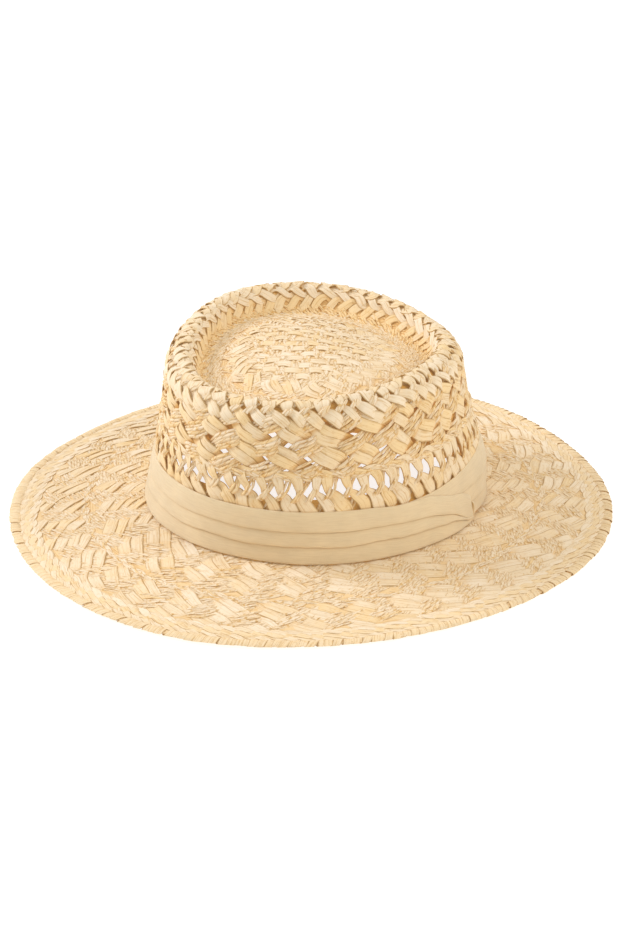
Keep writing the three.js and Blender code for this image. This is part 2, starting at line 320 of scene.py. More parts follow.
def wave_noise(rng, count, at, lengths, closed=False):
    """Smooth noise of about -1 to 1 along each of count strands, in waves of lengths."""
    total = np.zeros((count, at.shape[-1]))
    for length in lengths:
        pitch = rng.uniform(*WAVE_PITCHES, (count, 1)) / length
        if closed:
            pitch = np.round(pitch)
        total += np.sin(TAU * (pitch * at + rng.random((count, 1))))
    return total / len(lengths) ** 0.5


def grid_quads(rows, steps, sides):
    """Quads between the rings of a tube. If rows is steps, the last ring meets the first."""
    i, j = np.arange(rows)[:, None], np.arange(sides)[None]
    i2, j2 = (i + 1) % steps, (j + 1) % sides
    corners = (i * sides + j, i2 * sides + j, i2 * sides + j2, i * sides + j2)
    return np.stack(np.broadcast_arrays(*corners), -1).reshape(-1, 4)


class Weave:
    """Collects strands swept over a skin and makes them into one mesh."""

    def __init__(self, skin, seed, tone=0.0):
        self.skin = skin
        self.rng = np.random.default_rng(seed)
        self.tone = tone
        self.points, self.quads, self.kinds, self.uvs = [], [], [], []
        self.caps, self.cap_uvs = [], []
        self.values = {"tint": [], "depth": [], "rim": []}
        self.count = 0

    def take(self, points, quads, kind, uvs, **values):
        """Points, with their values, and quads that are numbered from the first of them."""
        self.points.append(points.reshape(-1, 3))
        self.quads.append(quads + self.count)
        self.kinds.append(np.full(len(quads), kind, np.int32))
        self.uvs.append(uvs.reshape(-1, 2))
        number = points.size // 3
        for name, value in values.items():
            self.values[name].append(np.broadcast_to(np.ravel(value), (number,)))
        self.count += number

    def add(self, turn, down, lift, width, thick, kind=FLAT, closed=False, lean=0.0, roll=None):
        """Strands through places given as arrays of strand by step.

        roll is for a strand wound round an edge: it turns the side that faces out from
        up, at a quarter turn, to outwards, at 0, and the strand gets no painted shade for lying
        deep and less painted shade at its rims.
        """
        turn, down = self.skin.stray(turn, down)
        path, normal = self.skin.place(turn, down, lift)
        strands, steps = path.shape[:2]
        if roll is None:
            ahead = (np.roll(path, -1, 1) - np.roll(path, 1, 1) if closed
                     else np.gradient(path, axis=1))
            ahead = unit(ahead)
            across = unit(np.cross(normal, ahead))
            up = np.cross(ahead, across)
        else:
            outer, inner = (self.skin.place(turn, down + step, lift)[0]
                            for step in (NUDGE_OUT, -NUDGE_OUT))
            outward = unit(outer - inner)
            across = np.cross(outward, normal)
            up = normal * np.sin(roll)[..., None] + outward * np.cos(roll)[..., None]
        lean = np.broadcast_to(lean, (strands, steps))[..., None]
        across, up = (
            across * np.cos(lean) + up * np.sin(lean),
            up * np.cos(lean) - across * np.sin(lean),
        )
        section = RIBBON if kind == FLAT else CORD
        sides = len(section)
        width = np.broadcast_to(width, (strands, steps))
        thick = np.broadcast_to(thick, (strands, steps))
        points = (
            path[:, :, None]
            + across[:, :, None] * (width[..., None] * section[:, 0])[..., None]
            + up[:, :, None] * (thick[..., None] * section[:, 1])[..., None]
        )
        rows = steps if closed else steps - 1
        base = np.arange(strands)[:, None, None] * steps * sides
        lengths = np.linalg.norm(np.diff(path, axis=1, append=path[:, :1]), axis=-1)
        along = np.concatenate([np.zeros((strands, 1)), np.cumsum(lengths, 1)], 1)
        along = along + self.rng.uniform(0, PATTERN_LENGTH, (strands, 1))
        around = section[:, 0] if kind == FLAT else np.arange(sides) / sides
        around_next = np.roll(around, -1) if kind == FLAT else (np.arange(sides) + 1) / sides
        size = width.mean() if kind == FLAT else 1.0
        here, there, side, next_side = (
            np.broadcast_to(value, (strands, rows, sides)) for value in (
                along[:, :rows, None], along[:, 1 : rows + 1, None],
                around * size, around_next * size)
        )
        corners = ((here, side), (there, side), (there, next_side), (here, next_side))
        uvs = np.stack([np.stack(corner, -1) for corner in corners], -2)
        if not closed:
            ring = np.arange(sides)
            for cap, at in ((ring, 0), ((steps - 1) * sides + ring[::-1], steps - 1)):
                self.caps.append(cap[None] + base[:, :, 0] + self.count)
                flat = np.broadcast_arrays(along[:, at, None], around * size)
                self.cap_uvs.append(np.stack(flat, -1).reshape(-1, 2))
        tint = self.rng.normal(0, 1, (strands, 1)) + TINT_STREAK * wave_noise(
            self.rng, strands, along[:, :steps], (STREAK_LENGTH,))
        tint = np.clip(TINT_MIDDLE + self.tone + TINT_SPREAD * tint, 0, 1)
        # How deep each point lies, which sets its painted shade for lying deep; a wound strand
        # gets none.
        sunk = np.broadcast_to(lift if roll is None else 0.0, (strands, steps))[..., None]
        # Painted shade at the rims and lower flanks, where strands meet and shade falls between
        # them.
        rim = (RIBBON_RIM_SHADE if kind == FLAT else CORD_FLANK_SHADE) * (1.0 if roll is None else WOUND_RIM_SHADE)
        quads = (grid_quads(rows, steps, sides) + base).reshape(-1, 4)
        self.take(points, quads, kind, uvs, tint=np.repeat(tint.ravel(), sides),
                  depth=sunk + thick[..., None] * section[:, 1],
                  rim=np.tile(rim, strands * steps))

    def tube(self, points, along, around, tone=0.0):
        """One closed form through rings of points, with its ends capped. tone is the painted shade
        in its creases.
        """
        steps, sides = points.shape[:2]
        quads = grid_quads(steps - 1, steps, sides)
        flat = np.stack([along, around], -1).reshape(-1, 2)
        ring = np.arange(sides)
        for cap in (ring, (steps - 1) * sides + ring[::-1]):
            self.caps.append(cap[None] + self.count)
            self.cap_uvs.append(flat[cap])
        tone = np.broadcast_to(tone, (steps, sides))
        self.take(points, quads, FLAT, flat[quads.ravel()], tint=TINT_MIDDLE, depth=0.0, rim=tone)

    def shell(self, low, high, lift, thick, rows=12, depth=-1.2):
        """A thin closed layer inside the weave, from one distance down to another. depth doesn't
        place it: it sets how much painted shade the layer gets, as if it lay so deep.
        """
        turn = np.linspace(0, 1, SHELL_COLUMNS, endpoint=False)
        turn, down = np.meshgrid(turn, np.linspace(low, high, rows))
        outside, inside = (self.skin.place(turn, down, np.full_like(turn, height))[0]
                           for height in (lift, lift - thick))
        points = np.concatenate([outside, inside[::-1]])
        quads = grid_quads(len(points), len(points), SHELL_COLUMNS)
        flat = np.stack([turn * self.skin.girth(low), down], -1)
        flat = np.concatenate([flat, flat[::-1]]).reshape(-1, 2)
        self.take(points, quads, FLAT, flat[quads.ravel()], tint=SHELL_TINT, depth=depth, rim=0.0)

    def make(self, name, materials):
        """The mesh object, at the origin, with its place in its points."""
        mesh = bpy.data.meshes.new(name)
        points = np.concatenate(self.points) * MM
        quads = np.concatenate(self.quads)
        groups = [quads] + self.caps
        corners = np.concatenate([g.ravel() for g in groups])
        sizes = np.concatenate([np.full(len(g), g.shape[1]) for g in groups])
        starts = np.concatenate([[0], np.cumsum(sizes)[:-1]])
        mesh.vertices.add(len(points))
        mesh.vertices.foreach_set("co", points.astype(np.float32).ravel())
        mesh.loops.add(len(corners))
        mesh.loops.foreach_set("vertex_index", corners.astype(np.int32))
        mesh.polygons.add(len(sizes))
        mesh.polygons.foreach_set("loop_start", starts.astype(np.int32))
        kinds = np.zeros(len(sizes), np.int32)
        kinds[: len(quads)] = np.concatenate(self.kinds)
        mesh.polygons.foreach_set("material_index", kinds)
        uv = mesh.uv_layers.new(name="strand")
        flat = np.concatenate(self.uvs + self.cap_uvs) * MM
        uv.data.foreach_set("uv", flat.astype(np.float32).ravel())
        for label, values in self.values.items():
            attribute = mesh.attributes.new(label, "FLOAT", "POINT")
            attribute.data.foreach_set("value", np.concatenate(values).astype(np.float32))
        mesh.update(calc_edges=True)
        mesh.validate()
        piece = bpy.data.objects.new(name, mesh)
        bpy.context.scene.collection.objects.link(piece)
        for material in materials:
            mesh.materials.append(material)
        select_only(piece)
        bpy.ops.object.shade_smooth_by_angle(angle=SMOOTH_ANGLE)
        return piece


def select_only(piece):
    bpy.ops.object.select_all(action="DESELECT")
    piece.select_set(True)
    bpy.context.view_layer.objects.active = piece


# ---- Ways of weaving ----------------------------------------------------------------

# Like strands side by side: how many, how far apart, how wide and how thick.
Strands = namedtuple("Strands", "number spacing width thick")

PLATEAU_SHARPNESS = 1.6
SLANT = 0.44                   # share of a crossing's width that flat strands slant across
END_DIVE, END_ROWS = 1.2, 0.6  # how far strands dive at a net's border, and in how many rows
# Unevenness. WAVES are wave lengths of noise, in rows of crossings if nothing else is
# said. Other pairs hold a value for flat strands and one for cords.
CRUMPLE = (0.0, 0.22)          # how far a strand strays from smooth
CRUMPLE_WAVES, HEIGHT_WAVES = (6.5, 10), (7, 12)       # in millimetres
GROUP_STRAY, GROUP_WAVES = 0.8, (3.5, 7.0)     # strands side by side stray together
STRAND_STRAY, STRAND_WAVES = 0.2, (2.1, 3.7)   # and each by itself
LOOSENESS, LOOSE_WAVES = 0.2, (2.5,)
ARCH = 0.3                     # share of lift by which the middle of a group stands up
ROUGHNESS = 0.06
FLAT_LEAN = 0.07               # radians by which a flat strand leans on its neighbour
LEAN_SWAY, LEAN_WAVES = 0.06, (3.0,)
WIDTH_SWAY, WIDTH_WAVES = 0.05, (2.6,)
NET_SIZES = (0.03, 0.11)       # spread of widths in a net, in laid strands and in a mat
LAID_SIZES = (0.03, 0.1)
MAT_SIZES = (0.04, 0.1)
LAID_SWELLS = (0.14, 0.03)     # spread of widths from place to place
LAID_DROP, LAID_STRAY, LAID_WAVES = 0.8, 0.35, (0.9, 1.9)      # waves in centimetres
LAID_ROUGHNESS, LAID_HEIGHT_WAVES = 0.12, (0.8, 1.6)
LAID_LEAN, LAID_LEAN_WAVES = 0.12, (1.7,)
COURSE_BEAT, COURSE_BEAT_WAVES = 0.3, (1 / 7, 1 / 17, 1 / 31)      # in turns of the hat
COURSE_DRIFT_WAVES = (1 / 9, 1 / 23)
COURSE_SWAY, COURSE_SWAY_WAVES = 0.14, (2, 3)          # in leaves
COURSE_SPREAD = 0.1            # spread of a cord's width and of a strand's height
COURSE_CRUMPLE, COURSE_CRUMPLE_WAVES = 0.2, (1.5, 2.3)
LEAF_ROUNDNESS = 0.8           # below 1 a leaf of a course widens sooner after a crossing
NET_SAMPLES = 8                # points a strand has from one row of crossings to the next
TABLE_STEPS = 4                # points a strand has between rows of its table
MAT_STEPS = 72                 # points across the whole mat
MAT_RIM = 0.97                 # share of its oval that a mat fills, squared
MAT_SHORTEST = 8               # half length in millimetres of the shortest strand in a mat
MAT_DIVE, MAT_DIVE_REACH = 0.9, 5      # how far a mat's strands dive at its rim
MAT_STRAY, MAT_WAVES = 0.6, (23, 41)   # waves in millimetres
MAT_ROUGHNESS = 0.05
WHIP_SAMPLES = 8               # points a wound strand has in one turn round the edge
WHIP_BEAT = 1.6                # how unevenly its turns follow each other
WHIP_BEAT_WAVES = (1 / 31, 1 / 67, 1 / 101)    # in turns of the hat
WHIP_SWAY = 0.07               # how unevenly wide its turns are
WHIP_SWAY_WAVES = (1 / 29, 1 / 47, 1 / 83)
WHIP_LEAN = 0.045              # radians by which each turn lies over the one before


def plateau(x):
    """A wave that stays longer at its top and bottom than a cosine does."""
    return np.tanh(PLATEAU_SHARPNESS * np.cos(x)) / math.tanh(PLATEAU_SHARPNESS)


def side_by_side(number, spacing):
    """How far from their middle each of several like strands lies."""
    return [(strand - (number - 1) / 2) * spacing for strand in range(number)]


def kind_of(strands):
    return FLAT if strands.thick < strands.width * 0.5 else ROUND


def net(weave, count, first, step, reach, flats, cords, lift=0.7, base=-1.0, flats_over=1,
        squeeze=0.25, wander=0.5, swing=0.3, samples=NET_SAMPLES):
    """Two slanting sets of strands, woven over and under each other.

    count crossings go round the hat, and row q of them lies first + q * step down.
    reach is the first and the last row. Flat strands run down to the right and are on
    top in every second row; cords run down to the left. squeeze draws strands together
    where they pass under, and swing lays them flatter where they are on top.
    """
    skin, rng = weave.skin, weave.rng
    start, stop = reach
    rows = np.linspace(start, stop, int(round((stop - start) * samples)) + 1)
    down = first + rows * step
    girth = skin.girth(down)
    dive = END_DIVE * (1 - grown(np.minimum(rows - start, stop - rows), 0, END_ROWS)) ** 2

    def noise(lengths, scale=1):
        return wave_noise(rng, count, rows, [length / scale for length in lengths])

    for family, direction, share, phase in (
        (flats, 1, SLANT, flats_over), (cords, -1, 1 - SLANT, flats_over + 1)
    ):
        kind = kind_of(family)
        beat = math.pi * (rows + phase)
        over = plateau(beat)
        side = girth.mean() / count * share
        length = math.hypot(side, step)
        spread = 1 - squeeze * (1 - over) / 2
        group = GROUP_STRAY * wander * rng.normal(0, 1, (count, 1))
        group = group + wander * noise(GROUP_WAVES)
        loose = 1 + LOOSENESS * noise(LOOSE_WAVES)
        for strand, place in enumerate(side_by_side(family.number, family.spacing)):
            off = place * spread + group + STRAND_STRAY * wander * noise(STRAND_WAVES)
            off = off + CRUMPLE[kind] * noise(CRUMPLE_WAVES, step)
            turn = (np.arange(count)[:, None] + direction * share * rows) / count
            turn = turn + off * step / length / girth
            fall = down - direction * off * side / length
            fall = fall - swing * step * np.sin(beat) / math.pi
            arch = 1 - (2 * strand / max(family.number - 1, 1) - 1) ** 2
            height = base + lift * over * loose - dive + ARCH * lift * arch
            height = height + (ROUGHNESS + CRUMPLE[kind]) * noise(HEIGHT_WAVES, step)
            size = rng.normal(1, NET_SIZES[kind], (count, 1))
            lean = FLAT_LEAN + LEAN_SWAY * noise(LEAN_WAVES) if kind == FLAT else 0.0
            width = family.width * size * (1 + WIDTH_SWAY * noise(WIDTH_WAVES)) * spread**0.5
            weave.add(turn, fall, height, width, family.thick * size, kind, lean=lean)


def course(weave, at, half, leaves, strands, twist=1, lift=0.8, base=-0.7, wander=0.3,
           samples=8, narrow=0.5):
    """Two strands twisted round each other in a row that goes once round the hat.

    A strand is one ribbon or some cords side by side. It swings half to either side of
    the distance at, and each of the leaves is one strand's pass over the other.
    A ribbon is narrow times its width where the two cross.
    """
    skin, rng = weave.skin, weave.rng
    leaves += leaves % 2
    kind = kind_of(strands)
    width = strands.width
    turn = np.linspace(0, 1, leaves * samples, endpoint=False)[None]

    def noise(lengths, scale=1):
        lengths = [length / scale for length in lengths]
        return wave_noise(rng, 1, turn, lengths, closed=True)

    beat = COURSE_BEAT * noise(COURSE_BEAT_WAVES)
    girth = skin.girth(at)
    for strand in (0, 1):
        phase = math.pi * (leaves * turn + strand) + beat
        sway = 1 + COURSE_SWAY * noise(COURSE_SWAY_WAVES, leaves)
        drift = wander * noise(COURSE_DRIFT_WAVES)
        slope = np.arctan2(twist * half * np.sin(phase) * math.pi, girth / leaves)
        leaf = np.abs(np.sin(phase)) ** LEAF_ROUNDNESS
        wide = width * (narrow + (1 - narrow) * leaf) * sway
        for place in side_by_side(strands.number, strands.spacing):
            off = place * sway
            if kind == ROUND:
                off = off + COURSE_CRUMPLE * noise(COURSE_CRUMPLE_WAVES, leaves)
                wide = width * rng.normal(1, COURSE_SPREAD)
            height = base + lift * np.sin(phase) * sway + rng.normal(0, COURSE_SPREAD)
            down = at + drift - twist * half * np.cos(phase) * sway + off * np.cos(slope)
            along = turn - off * np.sin(slope) / girth
            weave.add(along, down, height, wide, strands.thick, kind, closed=True)


def laid(weave, count, table, thick, kind=FLAT, number=1, spacing=0.0, wander=0.4):
    """Like strands at even places round the hat, each laid by a table.

    A row of the table is a distance down, how far right of its place the strand is
    there, its width and its height.
    """
    skin, rng = weave.skin, weave.rng
    down, side, width, lift = eased(table, TABLE_STEPS).T
    at = (down - down[0]) / 10

    def noise(lengths):
        return wave_noise(rng, count, at, lengths)

    pull = wander * rng.normal(0, 1, (count, 1))
    drop = LAID_DROP * wander * rng.normal(0, 1, (count, 1))
    swell = rng.normal(1, LAID_SWELLS[kind], (count, 1))
    for place in side_by_side(number, spacing):
        off = side + place + pull + LAID_STRAY * wander * noise(LAID_WAVES)
        turn = np.arange(count)[:, None] / count + off / skin.girth(down)
        height = lift + LAID_ROUGHNESS * noise(LAID_HEIGHT_WAVES)
        size = swell * rng.normal(1, LAID_SIZES[kind], (count, 1))
        lean = LAID_LEAN * noise(LAID_LEAN_WAVES) if kind == FLAT else 0.0
        weave.add(turn, down + drop, height, width * size, thick, kind, lean=lean)


def matting(weave, reach, pitch, heading, flats, cords, lift, base, wander):
    """Two straight sets of strands that cross over the middle of the hat.

    They fill the rings out to a distance of reach down from the middle. heading is the
    angle that the flat strands run at, seen from above.
    """
    skin, rng = weave.skin, weave.rng
    inside = skin.down <= skin.down[0] + reach + 1
    sizes = skin.rings[inside, :2]
    half_width, half_length = sizes[-1]
    lines = int(half_length / pitch) + 1
    line = np.arange(-lines, lines + 1)
    for family, aim, phase in ((flats, heading, 0), (cords, heading + TAU / 4, 1)):
        kind = kind_of(family)
        run = np.array([math.cos(aim), math.sin(aim)])
        side = np.array([-run[1], run[0]])
        # Where a straight line off to one side meets the mat's oval: a quadratic.
        a, b, c = (
            (p[0] * q[0]) / half_width**2 + (p[1] * q[1]) / half_length**2
            for p, q in ((run, run), (run, side), (side, side))
        )
        for place in side_by_side(family.number, family.spacing):
            off = line * pitch + place
            room = (b * off) ** 2 - a * (c * off**2 - MAT_RIM)
            inner = room > (MAT_SHORTEST * a) ** 2
            middle = -b * off[inner] / a
            half = np.sqrt(room[inner]) / a
            along = middle[:, None] + half[:, None] * np.linspace(-1, 1, MAT_STEPS)
            count = len(along)
            stray = wander * wave_noise(rng, count, along, MAT_WAVES)
            stray = stray + MAT_STRAY * wander * rng.normal(0, 1, (count, 1))
            x, y = (run[:, None, None] * along
                    + side[:, None, None] * (off[inner][:, None] + stray))
            share = np.hypot(x / half_width, y / half_length)
            down = np.interp(share, sizes.mean(1) / sizes[-1].mean(), skin.down[inside])
            turn = skin.turn(np.arctan2(y, x))
            over = plateau(math.pi * (along / pitch + line[inner][:, None] + phase))
            to_rim = (1 - np.abs(np.linspace(-1, 1, MAT_STEPS))) * half[:, None]
            height = base + lift * over - MAT_DIVE * (1 - grown(to_rim, 0, MAT_DIVE_REACH)) ** 2
            height = height + MAT_ROUGHNESS * wave_noise(rng, count, along, HEIGHT_WAVES)
            size = rng.normal(1, MAT_SIZES[kind], (count, 1))
            weave.add(turn, down, height, family.width * size, family.thick, kind)


def whip(weave, at, half_width, half_height, middle, loops, width, thick):
    """One strand wound round and round an edge, in flat loops about the distance at."""
    rng = weave.rng
    turn = np.linspace(0, 1, loops * WHIP_SAMPLES, endpoint=False)[None]
    beat = wave_noise(rng, 1, turn, WHIP_BEAT_WAVES, closed=True)
    phase = TAU * loops * turn + WHIP_BEAT * beat
    size = 1 + WHIP_SWAY * wave_noise(rng, 1, turn, WHIP_SWAY_WAVES, closed=True)
    down = at + half_width * np.cos(phase) * size
    height = middle + half_height * np.sin(phase) * size
    weave.add(turn, down, height, width, thick, closed=True, lean=WHIP_LEAN, roll=phase)


# ---- Materials ----------------------------------------------------------------------

WHITE = (1, 1, 1)
CORD_PLIES = 2
CORD_PLIES_PER_METRE = 150.0
THREAD_PITCH = 0.00045
# Waves in a metre, along and across a strand, of the materials' noises.
PLY_WAVES = (260, 500)
CREASE_WAVES = (9, 430)
FIBRE_WAVES = (60, 2600)
SPECK_WAVES = (330, 620)
SLUB_WAVES = (90, 1500)
MOTTLE_WAVES = (55, 75)
PAINTED_GLOW_COLOUR = (1.0, 0.76, 0.38)  # painted glow: an emission standing in for light that comes through the thin straw
PAINTED_GLOW_STRENGTH = 0.08
GROOVE_SHADE_TONE = (0.7, 0.5, 0.21)  # painted shade: straw is darkened with this where it is creased or grooved
VEIN_TONE = (0.86, 0.78, 0.62)
SPECK_TONE = (0.78, 0.58, 0.26)
DEEP_SHADE_FROM, DEEP_SHADE_TO = -0.3, -1.8  # millimetres deep where the painted shade of deep strands sets in and is full
SLUB_TONE = (0.82, 0.76, 0.66)
THREAD_TONE = (0.8, 0.74, 0.64)
# Painted shade: the cloth is darkened with this in its creases.
CREASE_SHADE_TONE = (0.44, 0.29, 0.13)


def new_material(name):
    material = bpy.data.materials.new(name)
    material.use_nodes = True
    return material, material.node_tree, material.node_tree.nodes["Principled BSDF"]


def set_inputs(shader, values):
    """Plain values on the shader's own sockets."""
    for name, value in values.items():
        shader.inputs[name].default_value = value


def add_node(tree, kind, inputs=None, **settings):
    node = tree.nodes.new(kind)
    for key, value in settings.items():
        setattr(node, key, value)
    for key, value in (inputs or {}).items():
        if isinstance(value, bpy.types.NodeSocket):
            tree.links.new(value, node.inputs[key])
        else:
            node.inputs[key].default_value = value
    return node


def ramp(tree, value, stops):
    node = add_node(tree, "ShaderNodeValToRGB", inputs={"Fac": value})
    elements = node.color_ramp.elements
    while len(elements) < len(stops):
        elements.new(0.5)
    for element, (position, colour) in zip(elements, stops):
        element.position = position
        element.color = (*colour, 1)
    return node.outputs["Color"]


def maths(tree, operation, *values):
    """The outcome of one sum on numbers or sockets."""
    return add_node(tree, "ShaderNodeMath", inputs=dict(enumerate(values)),
                    operation=operation).outputs[0]


def remap(tree, value, low, high):
    """A smooth step from 0 at low to 1 at high."""
    return add_node(tree, "ShaderNodeMapRange", interpolation_type="SMOOTHSTEP", inputs={
        "Value": value, "From Min": low, "From Max": high}).outputs[0]


def attribute(tree, name):
    return add_node(tree, "ShaderNodeAttribute", attribute_name=name).outputs["Fac"]


def strand_uv(tree):
    """Metres along and across the strand."""
    return add_node(tree, "ShaderNodeUVMap", uv_map="strand").outputs["UV"]


def apart(tree, uv):
    parts = add_node(tree, "ShaderNodeSeparateXYZ", inputs={"Vector": uv})
    return parts.outputs["X"], parts.outputs["Y"]


def lengthwise_noise(tree, uv, waves, detail=2.0):
    """Noise with so many waves in a metre along and across a strand."""
    place = add_node(tree, "ShaderNodeMapping", inputs={"Vector": uv, "Scale": (*waves, 1)})
    noise = add_node(tree, "ShaderNodeTexNoise", noise_dimensions="2D", inputs={
        "Vector": place.outputs[0], "Scale": 1.0, "Detail": detail, "Roughness": 0.55})
    return noise.outputs[0]


def multiplied(tree, share, colour, by):
    mix = add_node(tree, "ShaderNodeMix", data_type="RGBA", blend_type="MULTIPLY")
    for name, value in (("Factor", share), ("A", colour), ("B", by)):
        socket = next(s for s in mix.inputs if s.name == name and s.enabled)
        if isinstance(value, bpy.types.NodeSocket):
            tree.links.new(value, socket)
        else:
            socket.default_value = (*value, 1) if name == "B" else value
    return next(s for s in mix.outputs if s.enabled)


def raise_surface(tree, shader, height, strength, distance):
    bump = add_node(tree, "ShaderNodeBump", inputs={
        "Strength": strength, "Distance": distance, "Height": height})
    tree.links.new(bump.outputs[0], shader.inputs["Normal"])


def straw_material(name, colours, twisted):
    """Matt paper straw. A ribbon is creased along its length; a cord is twisted. Shade is painted
    where it is creased or grooved, at its rims and flanks and where it lies deep, and it has a
    faint painted glow.
    """
    material, tree, shader = new_material(name)
    uv = strand_uv(tree)
    if twisted:
        along, across = apart(tree, uv)
        plies = maths(tree, "MULTIPLY_ADD", along, CORD_PLIES_PER_METRE,
                      maths(tree, "MULTIPLY", across, CORD_PLIES / MM))
        uneven = lengthwise_noise(tree, uv, PLY_WAVES, 1.0)
        groove = maths(tree, "PINGPONG", maths(tree, "ADD", plies, uneven), 0.5)
        relief, distance = remap(tree, groove, 0.02, 0.24), 0.00035
        common_tint, groove_shade_share, speck_share, rim_shade_share = 0.35, 0.6, 0.8, 0.52
        rim_shade_tone = (0.56, 0.38, 0.13)
    else:
        creases = lengthwise_noise(tree, uv, CREASE_WAVES)
        groove = maths(tree, "ABSOLUTE", maths(tree, "SUBTRACT", creases, 0.5))
        relief, distance = remap(tree, groove, 0.0, 0.045), 0.00014
        common_tint, groove_shade_share, speck_share, rim_shade_share = 0.5, 0.5, 0.3, 0.85
        rim_shade_tone = (0.52, 0.36, 0.14)
    colour = ramp(tree, attribute(tree, "tint"), [
        (0.1, colours.deep), (common_tint, colours.straw), (0.9, colours.pale)])
    # Painted shade in a ribbon's creases and between a cord's plies.
    groove_shade = ramp(tree, relief, [(0.0, GROOVE_SHADE_TONE), (0.8, WHITE)])
    colour = multiplied(tree, groove_shade_share, colour, groove_shade)
    fibres = lengthwise_noise(tree, uv, FIBRE_WAVES, 3.0)
    colour = multiplied(tree, 0.35, colour, ramp(tree, fibres, [(0.3, VEIN_TONE), (0.6, WHITE)]))
    specks = lengthwise_noise(tree, uv, SPECK_WAVES)
    specks = ramp(tree, specks, [(0.57, WHITE), (0.7, SPECK_TONE)])
    colour = multiplied(tree, speck_share, colour, specks)
    # Painted shade at the strands' rims and flanks.
    rim = maths(tree, "MULTIPLY", attribute(tree, "rim"), rim_shade_share)
    colour = multiplied(tree, rim, colour, rim_shade_tone)
    # Painted shade on strands that lie deep under others, from the depth attribute.
    sunk = remap(tree, attribute(tree, "depth"), DEEP_SHADE_FROM, DEEP_SHADE_TO)
    colour = multiplied(tree, sunk, colour, colours.deep_shade_colour)
    tree.links.new(colour, shader.inputs["Base Color"])
    raise_surface(tree, shader, maths(tree, "MULTIPLY_ADD", fibres, 0.3, relief), 0.5, distance)
    # A faint painted glow on all the straw, as an emission.
    set_inputs(shader, {"Roughness": 0.7, "Specular IOR Level": 0.25,
                        "Emission Color": (*PAINTED_GLOW_COLOUR, 1),
                        "Emission Strength": PAINTED_GLOW_STRENGTH})
    return material


def cloth_material(name, colour):
    """Plain cotton: a fine even weave with a few thick threads, soft mottling, and painted shade
    in its creases.
    """
    material, tree, shader = new_material(name)
    uv = strand_uv(tree)
    threads = [maths(tree, "SINE", maths(tree, "MULTIPLY", way, TAU / THREAD_PITCH))
               for way in apart(tree, uv)]
    weave = maths(tree, "MULTIPLY", *threads)
    slubs = lengthwise_noise(tree, uv, SLUB_WAVES)
    mottle = lengthwise_noise(tree, uv, MOTTLE_WAVES, 3.0)
    toned = ramp(tree, mottle, [(0.3, tuple(0.93 * c for c in colour)), (0.7, colour)])
    toned = multiplied(tree, 0.25, toned, ramp(tree, slubs, [(0.35, SLUB_TONE), (0.6, WHITE)]))
    toned = multiplied(tree, 0.15, toned, ramp(tree, weave, [(0.0, THREAD_TONE), (0.6, WHITE)]))
    # Painted shade in the creases, from the rim attribute.
    toned = multiplied(tree, attribute(tree, "rim"), toned, CREASE_SHADE_TONE)
    tree.links.new(toned, shader.inputs["Base Color"])
    raise_surface(tree, shader, maths(tree, "MULTIPLY_ADD", slubs, 0.8, weave), 0.6, 0.00008)
    set_inputs(shader, {"Roughness": 0.85, "Specular IOR Level": 0.15,
                        "Sheen Weight": 0.4, "Sheen Roughness": 0.5})
    return material


def floor_material(name):
    """A pale matt floor that glows a little, so that it stays near white."""
    material, _, shader = new_material(name)
    set_inputs(shader, {"Base Color": (0.35, 0.35, 0.35, 1), "Roughness": 0.9,
                        "Specular IOR Level": 0.1, "Emission Color": (1, 1, 1, 1),
                        "Emission Strength": 0.8})
    return material


# ---- Settings -----------------------------------------------------------------------


def colour_property(name, description, default):
    return FloatVectorProperty(name=name, description=description, subtype="COLOR",
                               size=3, min=0, max=1, default=default)


def width_property(name, description, size):
    return FloatProperty(name=name, description=description, subtype="DISTANCE", unit="LENGTH",
                         precision=5, min=0.0002, default=size * MM)


def count_property(name, description, default):
    return IntProperty(name=name, description=description, min=8, default=default)


class HatSizes(bpy.types.PropertyGroup):
    """The strands' widths, and how many of them go round the hat."""

    brim_ribbon: width_property("Brim ribbon", "Width of the brim's flat strands", 7.8)
    brim_cord: width_property("Brim cord", "Width of a twisted cord in the brim", 1.8)
    edge_ribbon: width_property("Edge ribbon", "Width of the strand wound round the edge", 4.6)
    wall_ribbon: width_property("Wall ribbon", "Width of the crown side's flat strands", 6.5)
    wall_cord: width_property("Wall cord", "Width of a twisted cord in the crown side", 2.1)
    cloth: width_property("Cloth", "Thickness of the band's cloth", 0.45)
    inner_crossings: count_property("Inner crossings", "Crossings round the inner brim", 28)
    outer_crossings: count_property("Outer crossings", "Crossings round the outer brim", 37)
    edge_turns: count_property("Edge turns", "Times the edge strand winds round", 280)
    wall_crossings: count_property("Wall crossings", "Crossings round the crown side", 25)
    openwork_posts: count_property("Openwork posts", "Posts between the openwork holes", 62)
    rim_leaves: count_property("Rim leaves", "Leaves of the plait on the crown's rim", 56)


class HatColours(bpy.types.PropertyGroup):
    """The hat's colours, and the colour of painted shade on deep-lying strands, as linear red,
    green and blue.
    """

    pale: colour_property("Pale straw", "The lightest strands", (0.91, 0.78, 0.61))
    straw: colour_property("Straw", "Most of the strands", (0.87, 0.71, 0.50))
    deep: colour_property("Deep straw", "The darkest strands", (0.88, 0.66, 0.37))
    # The colour of painted shade, multiplied into strands that lie deep under others.
    deep_shade_colour: colour_property("Hollows", "The tone of strands underneath", (0.82, 0.56, 0.19))
    cloth: colour_property("Cloth", "The band", (0.97, 0.77, 0.48))


def finish_piece(piece, slot, *nodes):
    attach(piece, BODY)
    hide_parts(*nodes)


def straws():
    """The two straw materials, made once: flat ribbons and twisted cords."""
    names = ("paper_straw_ribbon", "paper_straw_cord")
    colours = bpy.context.scene.hat_colours
    return [bpy.data.materials.get(name) or straw_material(name, colours, name == names[1])
            for name in names]


def weave_piece(weave, name, node):
    finish_piece(weave.make(name, straws()), "straw", node)


